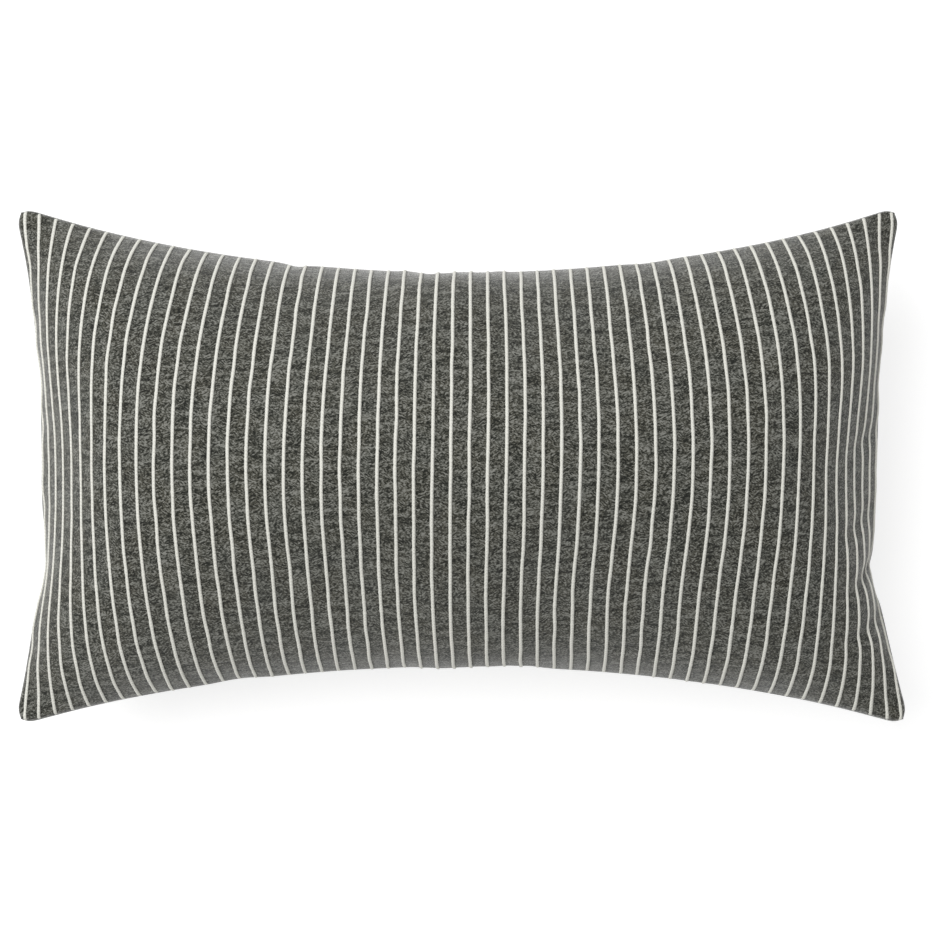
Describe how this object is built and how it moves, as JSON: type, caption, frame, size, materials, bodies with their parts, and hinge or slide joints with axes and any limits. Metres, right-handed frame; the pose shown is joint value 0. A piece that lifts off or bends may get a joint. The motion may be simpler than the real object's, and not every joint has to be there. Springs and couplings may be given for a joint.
{
  "type": "throw pillow",
  "caption": "Plump rectangular lumbar throw pillow with a striped woven knife-edge cover, a hidden zip and a separate filled insert.",
  "frame": {"origin": "on the floor under the middle of the pillow, which lies on its back", "axes": "+X along the long sides, +Y towards the plain long seam (the zip is on the -Y side), +Z out of the front panel"},
  "size_m": [0.552, 0.319, 0.178],
  "materials": {
    "cover_fabric": "heathered charcoal twill with raised ivory yarn stripes",
    "cover_thread": "spun polyester sewing thread, charcoal",
    "zip_tape": "woven polyester tape, charcoal",
    "zip_coil": "nylon monofilament coil, charcoal",
    "zip_metal": "die-cast zinc with satin dark paint",
    "insert_cloth": "plain white polyester-cotton",
    "insert_thread": "white sewing thread",
    "fibre_fill": "white polyester fibre fill",
    "label_tape": "blank white satin label tape"
  },
  "bodies": {
    "pillow": {"cover_front": "cover_fabric", "cover_back": "cover_fabric", "cover_seam_thread": "cover_thread", "overlock_thread_front": "cover_thread", "overlock_thread_back": "cover_thread", "zipper_tape_front": "zip_tape", "zipper_tape_back": "zip_tape", "zipper_coil_front": "zip_coil", "zipper_coil_back": "zip_coil", "zipper_top_stops": "zip_metal", "zipper_bottom_stop": "zip_metal", "zipper_stitch_front": "cover_thread", "zipper_stitch_back": "cover_thread", "insert_shell_front": "insert_cloth", "insert_shell_back": "insert_cloth", "insert_seam_thread": "insert_thread", "insert_closing_stitch": "insert_thread", "insert_fill": "fibre_fill", "care_label": "label_tape", "insert_label": "label_tape"},
    "slider": {"zipper_slider": "zip_metal"},
    "pull": {"zipper_pull": "zip_metal"}
  },
  "joints": [
    {"name": "slider_travel", "type": "hinge", "parent": "pillow", "child": "slider", "pos_m": [0, -1.23023, 0.087], "axis": [0, 0, 1], "range_deg": [0, 19.99]},
    {"name": "pull_swing", "type": "hinge", "parent": "slider", "child": "pull", "pos_m": [0.19302, -0.13518, 0.08345], "axis": [0.1736, 0.9848, 0], "range_deg": [-85, 85]}
  ]
}
